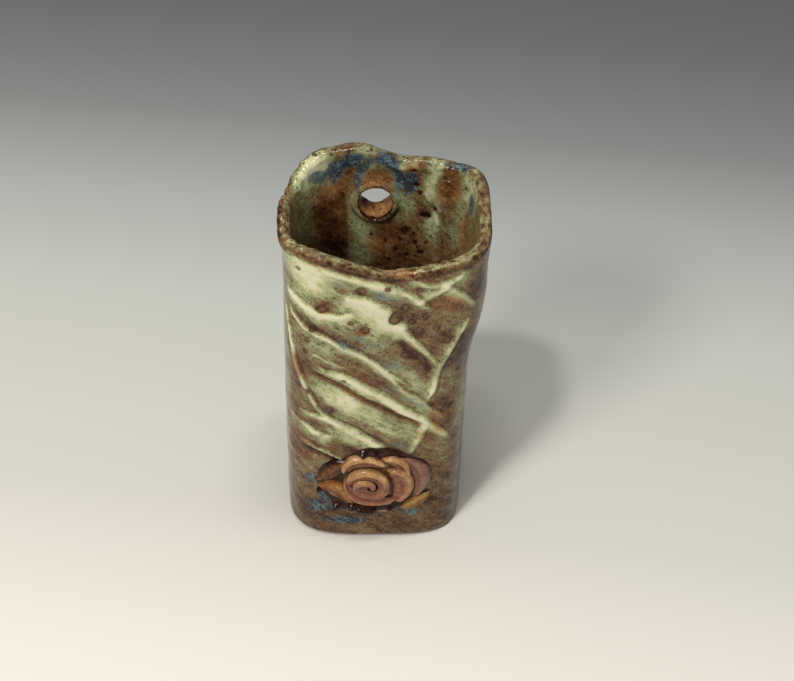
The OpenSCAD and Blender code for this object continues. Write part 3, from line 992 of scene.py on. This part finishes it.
def build_base_slab():
    """The bottom slab: glazed inside, bare clay with a shallow hollow underneath."""
    sides = 180
    angle = np.linspace(0, 360, sides, endpoint=False)[:, None]
    inset_edge = thickness(angle, FLOOR)
    top_rings = np.array([1.0, 0.97, 0.9, 0.8, 0.65, 0.5, 0.35, 0.2, 0.08])
    reach = np.concatenate([top_rings[::-1], top_rings])[None, :]
    x, y = plan(angle, FLOOR, inset_edge)
    x = x * reach
    y = y * reach
    dish = noise(x, y, 0, 9, 41)
    rise = smooth((reach - 0.75) / 0.25)
    up = np.arange(reach.shape[1])[None, :] < len(top_rings)
    z_top = FLOOR - 0.3 * (1 - rise) + 0.15 * dish * (1 - rise)
    z_bottom = 0.35 * (1 - smooth((reach - 0.86) / 0.08)) * (1 + 0.3 * dish)
    z = np.where(up, z_top, z_bottom)
    points = to_frame(x, y, z)
    rows = reach.shape[1]
    faces = []
    for i in range(sides):
        n = (i + 1) % sides
        for j in range(rows - 1):
            faces.append((i * rows + j, i * rows + j + 1, n * rows + j + 1, n * rows + j))
    faces.append(tuple(i * rows for i in range(sides)))
    faces.append(tuple(i * rows + rows - 1 for i in reversed(range(sides))))
    glazed = up + 0 * x
    shares = dict(tone=0.66 - 0.35 * glazed, rust=1 - 0.4 * glazed, blue=0 * x, dark=0.6 * glazed)
    make_piece("base_slab", points, faces, shares, BODY)


def build_seam_coil():
    """The soft roll of clay in the rear right inside corner, thinning out towards its top."""
    columns = 34
    rows_up = 130
    angle = np.linspace(SEAM_RIGHT - 8.5, SEAM_RIGHT + 8.5, columns)[:, None]
    top = lip_z(np.array([float(SEAM_RIGHT)]))[0] - 6
    z = np.linspace(FLOOR, top, rows_up)[None, :]
    relief, shares = paint_inside(angle + 0 * z, z + 0 * angle)
    wander = 1.2 * noise(z, 0, 0, 18, 51)
    across = (angle - SEAM_RIGHT - wander) / 8.5
    bulge = COIL_BULGE * smooth((top - z) / 16) * bell(across, 0.55)
    bulge = bulge * (1 + 0.25 * noise(z, angle, 0, 6, 52))
    surface = thickness(angle, z) + relief + bulge - 0.12 * across ** 4
    buried = thickness(angle, z) + relief - 0.5
    xs, ys = plan(angle, z, surface)
    xb, yb = plan(angle, z, buried)
    x = top_and_under(xs, xb)
    y = top_and_under(ys, yb)
    z_all = top_and_under(z, z) + 0 * angle
    both = {n: top_and_under(shares[n], shares[n]) for n in SHARES}
    rows = 2 * rows_up
    faces = wall_faces(columns, rows, rows_up)
    make_piece("seam_coil", to_frame(x, y, z_all), faces, both, BODY)


# ---- the rose
def front_y(x, z):
    """Depth of the front face of the wall at x and z."""
    a = np.where(x >= 0, right_at(z), left_at(z))
    return -(front_at(z) - foot_inset(z)) * (1 - np.abs(x / a) ** SQUARENESS) ** (1 / SQUARENESS)


def bezier(controls, t):
    c = np.array(controls, float)
    t = t[:, None]
    return (1 - t) ** 3 * c[0] + 3 * t * (1 - t) ** 2 * c[1] + 3 * t * t * (1 - t) * c[2] + t ** 3 * c[3]


def build_strip(node, path, half, profile, material, tint, seed):
    """A strip of clay pressed on the front along a path: profile gives its height across, in
    millimetres, and tint its glaze shares."""
    across_count = 23
    along_count = len(path)
    tangent = np.gradient(path, axis=0)
    tangent /= np.linalg.norm(tangent, axis=1)[:, None]
    side = np.stack([-tangent[:, 1], tangent[:, 0]], 1)
    u = np.linspace(-1, 1, across_count)
    along = np.linspace(0, 1, along_count)[:, None]
    wave = 1 + 0.12 * noise(along * 40, 0, 0, 9, seed)
    x = path[:, :1] + half[:, None] * wave * u * side[:, :1]
    z = path[:, 1:] + half[:, None] * wave * u * side[:, 1:]
    ends = smooth(along * 9) * smooth((1 - along) * 9)
    height = profile(u + 0 * along, along + 0 * u) * (0.35 + 0.65 * ends)
    lines = noise(5 * u, 3 * along, 0, 1.0, seed + 3)
    raised = height * (1 + 0.14 * noise(x, z, 0, 3, seed + 1)) + 0.12 * noise(x, z, 0, 1.6, seed + 2)
    raised = raised + 0.20 * lines
    wall = front_y(x, z)
    y_top = wall - np.maximum(raised, 0.05)
    y_back = wall + 0.5
    rows = 2 * across_count
    shares = tint(u + 0 * along, z)
    shares["tone"] = shares["tone"] + 0.16 * lines
    shares = {n: top_and_under(shares[n] + 0 * x, shares[n] + 0 * x) for n in SHARES}
    points = to_frame(top_and_under(x, x), top_and_under(y_top, y_back), top_and_under(z, z))
    faces = wall_faces(along_count, rows, across_count)
    make_piece(node, clip_to_box(points), faces, shares, material)


PETALS = (
    # node, path from the rose's centre, half width, height, side that stands up, gold on its crest
    ("petal_top_left", ((-10.2, 2.8), (-9.4, 9.2), (-3.2, 10.8), (4.2, 5.8)), 3.0, PETAL_H, 1, 0.46),
    ("petal_top_right", ((2.2, 9.2), (6.4, 9.6), (9.8, 6.6), (10.2, 1.2)), 2.7, PETAL_H, 1, 0.42),
    ("petal_right", ((3.8, 3.6), (9.4, 3.8), (11.6, -5.6), (5.2, -10.4)), 3.8, PETAL_H * 0.95, 1, 0.32),
    ("petal_bottom", ((-9.9, 0.2), (-9.8, -8.8), (-3.0, -11.8), (7.6, -9.2)), 2.2, PETAL_H * 0.9, -1, 0.26),
)
LEAVES = (
    # node, path, half width, height, tone, mauve share, olive share, darkness of its upper edge
    ("leaf_left_upper", ((-19.8, -2.4), (-15.8, 1.4), (-12.4, 6.2), (-8.4, 8.0)), 3.4, LEAF_H,
     0.24, 0, 0, 0.55),
    ("leaf_left_lower", ((-19.4, -5.2), (-14.6, -1.6), (-11.8, -5.8), (-7.2, -12.6)), 4.1, LEAF_H * 1.3,
     0.46, 0, 0, 0.15),
    ("leaf_right", ((9.4, 9.4), (15.6, 6.2), (17.6, -3.4), (12.2, -9.2)), 3.7, LEAF_H, 0.42, 1.0, 0.15, 0.25),
    ("leaf_lower_right", ((8.2, -14.4), (11.6, -13.4), (14.8, -11.0), (18.2, -8.0)), 3.0, LEAF_H,
     0.56, 0.1, 0.40, 0.1),
)


def build_petals():
    centre = np.array([ROSE_X, ROSE_Z])
    t = np.linspace(0, 1, 60)
    for number, (node, controls, half, height, outer, gold) in enumerate(PETALS):
        path = centre + bezier(controls, t)
        taper = half * (0.12 + 0.88 * np.sin(np.pi * t) ** 0.6)

        def profile(u, along):
            out = outer * u
            crest = smooth((out + 0.2) / 0.75) * (1 - 0.75 * smooth((out - 0.72) / 0.28))
            return height * (0.40 + 0.16 * smooth((out + 1) / 0.4) + 0.44 * crest)

        def tint(u, z):
            out = outer * u
            crest = smooth((out - 0.05) / 0.5)
            # Painted shade: the low inner side of the petal, in the fold by the bud, is painted darker, amber
            # and near black.
            tone = 0.40 + gold * crest - 0.30 * smooth((-0.55 - out) / 0.35)
            tone = tone - 0.25 * smooth((out - 0.9) / 0.1)
            return dict(tone=tone, rust=0.45 * smooth((-0.3 - out) / 0.4), blue=0,
                        dark=0.5 * smooth((-0.75 - out) / 0.25))

        build_strip(node, path, taper, profile, PETAL, tint, 60 + 3 * number)


def build_leaves():
    centre = np.array([ROSE_X, ROSE_Z])
    t = np.linspace(0, 1, 52)
    for number, (node, controls, half, height, tone, mauve, olive, shade) in enumerate(LEAVES):
        path = centre + bezier(controls, t)
        taper = half * (0.06 + 0.94 * np.sin(np.pi * t) ** 0.8)

        def profile(u, along):
            vein = bell(u + 0.1, 0.16)
            return height * ((1 - u * u) ** 0.7 * (1 - 0.22 * vein) + 0.08)

        def tint(u, z):
            border = smooth((np.abs(u) - 0.78) / 0.22)
            middle = bell(u - 0.25, 0.4)
            return dict(tone=tone - 0.12 + 0.22 * middle - 0.25 * border, rust=mauve, blue=olive,
                        dark=np.maximum(0.75 * border, shade * smooth((u - 0.2) / 0.6)))

        build_strip(node, path, taper, profile, LEAF, tint, 75 + 3 * number)


def build_bud():
    """A strip rolled into a spiral that closes to a flat eye, gold over its top and mauve below,
    with painted shade along its inner edge in the slits between the whorls.
    """
    turns = 1.66
    pitch = 3.4
    t = np.linspace(0, 1, 220)
    turn = 2 * np.pi * turns * t
    radius = 6.7 - pitch * turns * t + 0.35 * np.sin(1.7 * turn + 0.8)
    flat = 0.42 + 0.58 * smooth((radius - 1.6) / 4)
    start = np.radians(200)
    spiral = radius[:, None] * np.stack([np.cos(start - turn), flat * np.sin(start - turn)], 1)
    centre = np.array([ROSE_X - 1.9, ROSE_Z - 2.6])
    path = centre + spiral + t[:, None] * np.array([-1.4, -0.3])
    half = (pitch / 2 + 0.45) * np.minimum(1, np.minimum(0.35 + 6 * t, 0.8 + 4 * (1 - t)))
    half = half * (0.80 + 0.20 * flat)

    def profile(u, along):
        crest = smooth((u + 0.5) / 0.9) * (1 - 0.5 * smooth((u - 0.6) / 0.4))
        return BUD_H * (0.74 + 0.26 * crest) * (0.90 + 0.06 * along)

    def tint(u, z):
        above = smooth((z - centre[1] + 0.5) / 5)
        crest = smooth((u + 0.1) / 0.6)
        # Painted shade: the strip's inner edge, in the slit between the whorls, is painted darker and near
        # black.
        tone = 0.42 + crest * (0.02 + 0.36 * above) - 0.16 * smooth((-0.6 - u) / 0.3)
        return dict(tone=tone, rust=0, blue=0, dark=0.9 * smooth((-0.72 - u) / 0.2))

    build_strip("rose_bud", path, half, profile, PETAL, tint, 90)


build_front_wrap()
build_back_slab()
build_base_slab()
build_seam_coil()
build_petals()
build_leaves()
build_bud()


# ---- floor, lights and camera
def build_floor():
    """A plain pale sheet, its colour painted darker softly towards the back: painted shade for the light
    falling off across a studio sheet.
    """
    mesh = bpy.data.meshes.new("floor")
    half = 3.0
    corners = [(-half, -half, 0), (half, -half, 0), (half, half, 0), (-half, half, 0)]
    mesh.from_pydata(corners, [], [(0, 1, 2, 3)])
    g = Glaze("floor")
    along = g.node("SeparateXYZ", {0: g.place})
    depth = g.scaled(along.outputs["X"], 0.16, along.outputs["Y"])
    # Painted shade: the sheet's colour falls from pale in front to grey at the back, standing in for the
    # light falling off.
    painted_falloff_paper = g.ramp(g.step(depth, -0.12, 0.36), (
        (0.0, (246, 239, 227)), (0.12, (220, 216, 204)), (0.40, (206, 206, 196)),
        (0.62, (178, 180, 175)), (0.78, (144, 146, 143)), (1.0, (110, 110, 109))))
    grain = g.noise(1.2, 3)
    mesh.materials.append(g.finish(painted_falloff_paper, grain, (0.5, 0.1), grain, 0.05, 0.05))
    floor = bpy.data.objects.new("floor", mesh)
    bpy.context.scene.collection.objects.link(floor)


def area_light(name, place, size, power, color=(1, 1, 1)):
    light = bpy.data.lights.new(name, "AREA")
    light.shape = "RECTANGLE"
    light.size = size[0]
    light.size_y = size[1]
    light.energy = power
    light.color = color
    lamp = bpy.data.objects.new(name, light)
    lamp.location = place
    lamp.rotation_euler = (Vector((0, 0, 0.07)) - Vector(place)).to_track_quat("-Z", "Y").to_euler()
    bpy.context.scene.collection.objects.link(lamp)


def build_lights():
    area_light("key", (-0.90, -0.95, 1.40), (0.42, 0.30), 13.0, (1.0, 0.97, 0.93))
    area_light("window", (-0.30, -0.42, 1.25), (0.10, 0.07), 4.4)
    area_light("overhead", (0.05, -0.10, 1.20), (0.42, 0.07), 3.4)
    world = bpy.data.worlds.new("studio")
    world.use_nodes = True
    world.node_tree.nodes["Background"].inputs["Color"].default_value = (0.86, 0.88, 0.90, 1)
    world.node_tree.nodes["Background"].inputs["Strength"].default_value = 0.31
    bpy.context.scene.world = world
    bpy.context.scene.view_settings.view_transform = "Standard"


def build_camera():
    """The camera looks 45 degrees down at the front, from 0.46 m."""
    tilt = math.radians(45)
    swing = math.radians(1)
    c = math.cos(swing)
    s = math.sin(swing)
    right = Vector((c, -s, 0))
    forward = Vector((s * math.cos(tilt), c * math.cos(tilt), -math.sin(tilt)))
    up = right.cross(forward)
    middle = Vector((SHIFT_X, SHIFT_Y, 60.0))
    place = (middle + 5.9 * right + 7.0 * up - 463.0 * forward) * MM
    data = bpy.data.cameras.new("camera")
    data.lens = 63.5
    data.sensor_width = 36.0
    data.clip_start = 0.01
    camera = bpy.data.objects.new("camera", data)
    camera.matrix_world = Matrix.Translation(place) @ Matrix((right, up, -forward)).transposed().to_4x4()
    bpy.context.scene.collection.objects.link(camera)
    bpy.context.scene.camera = camera


build_floor()
build_lights()
build_camera()
